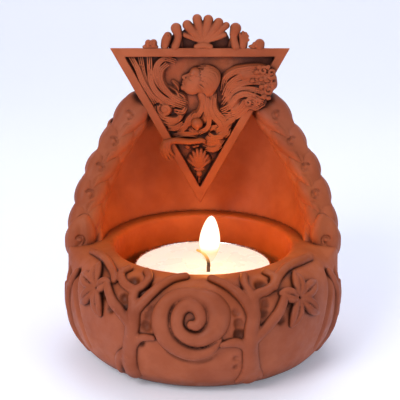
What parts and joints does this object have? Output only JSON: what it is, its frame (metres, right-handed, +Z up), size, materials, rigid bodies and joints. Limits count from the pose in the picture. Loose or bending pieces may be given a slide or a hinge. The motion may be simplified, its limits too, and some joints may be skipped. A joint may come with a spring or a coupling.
{
  "type": "clay tealight shrine",
  "caption": "Round clay candle pot with a leaning hood, a hanging triangular relief plaque, a scallop crest and sprigged tree ornament, holding a loose tealight.",
  "frame": {"origin": "on the flat underside, on the axis of the candle well", "axes": "+Z up, the open front and its spiral face -Y, +X to the viewer's right"},
  "size_m": [0.0778, 0.0786, 0.0909],
  "materials": {
    "clay_body": "matt, unglazed red clay, smooth thrown surface with faint brush marks",
    "clay_plaque": "matt, unglazed red clay, darker in the hollows",
    "clay_sprigs": "matt, unglazed red clay, darker in the hollows",
    "tealight_cup": "thin pressed foil, bright",
    "wax": "white wax, slightly translucent",
    "wick": "charred braided cotton"
  },
  "bodies": {
    "holder": {"back_tree_left": "clay_sprigs", "back_tree_right": "clay_sprigs", "crest_curl_left": "clay_plaque", "crest_curl_right": "clay_plaque", "crest_leaf_left": "clay_plaque", "crest_leaf_right": "clay_plaque", "crest_scroll_left": "clay_plaque", "crest_scroll_right": "clay_plaque", "crest_shell": "clay_plaque", "dolphin_left_1": "clay_sprigs", "dolphin_left_2": "clay_sprigs", "dolphin_left_3": "clay_sprigs", "dolphin_left_4": "clay_sprigs", "dolphin_left_5": "clay_sprigs", "dolphin_left_6": "clay_sprigs", "dolphin_right_1": "clay_sprigs", "dolphin_right_2": "clay_sprigs", "dolphin_right_3": "clay_sprigs", "dolphin_right_4": "clay_sprigs", "dolphin_right_5": "clay_sprigs", "dolphin_right_6": "clay_sprigs", "flower_left": "clay_sprigs", "flower_right": "clay_sprigs", "hood_shell": "clay_body", "plaque_frame": "clay_plaque", "plaque_panel": "clay_plaque", "pot_body": "clay_body", "relief_arm": "clay_plaque", "relief_hair_fall": "clay_plaque", "relief_hair_left": "clay_plaque", "relief_hair_right": "clay_plaque", "relief_head": "clay_plaque", "relief_neck": "clay_plaque", "relief_pearl": "clay_plaque", "relief_robe": "clay_plaque", "relief_shell": "clay_plaque", "side_tree_left": "clay_sprigs", "side_tree_right": "clay_sprigs", "spiral_back": "clay_sprigs", "spiral_front": "clay_sprigs", "tree_left": "clay_sprigs", "tree_right": "clay_sprigs"},
    "tealight": {"tealight_cup": "tealight_cup", "tealight_wax": "wax", "wick_sustainer": "tealight_cup", "wick": "wick"}
  },
  "joints": [
    {"name": "tealight_lift", "type": "slide", "parent": "holder", "child": "tealight", "axis": [0, -0.2079, 0.9781], "range_m": [0, 0.0215]}
  ]
}
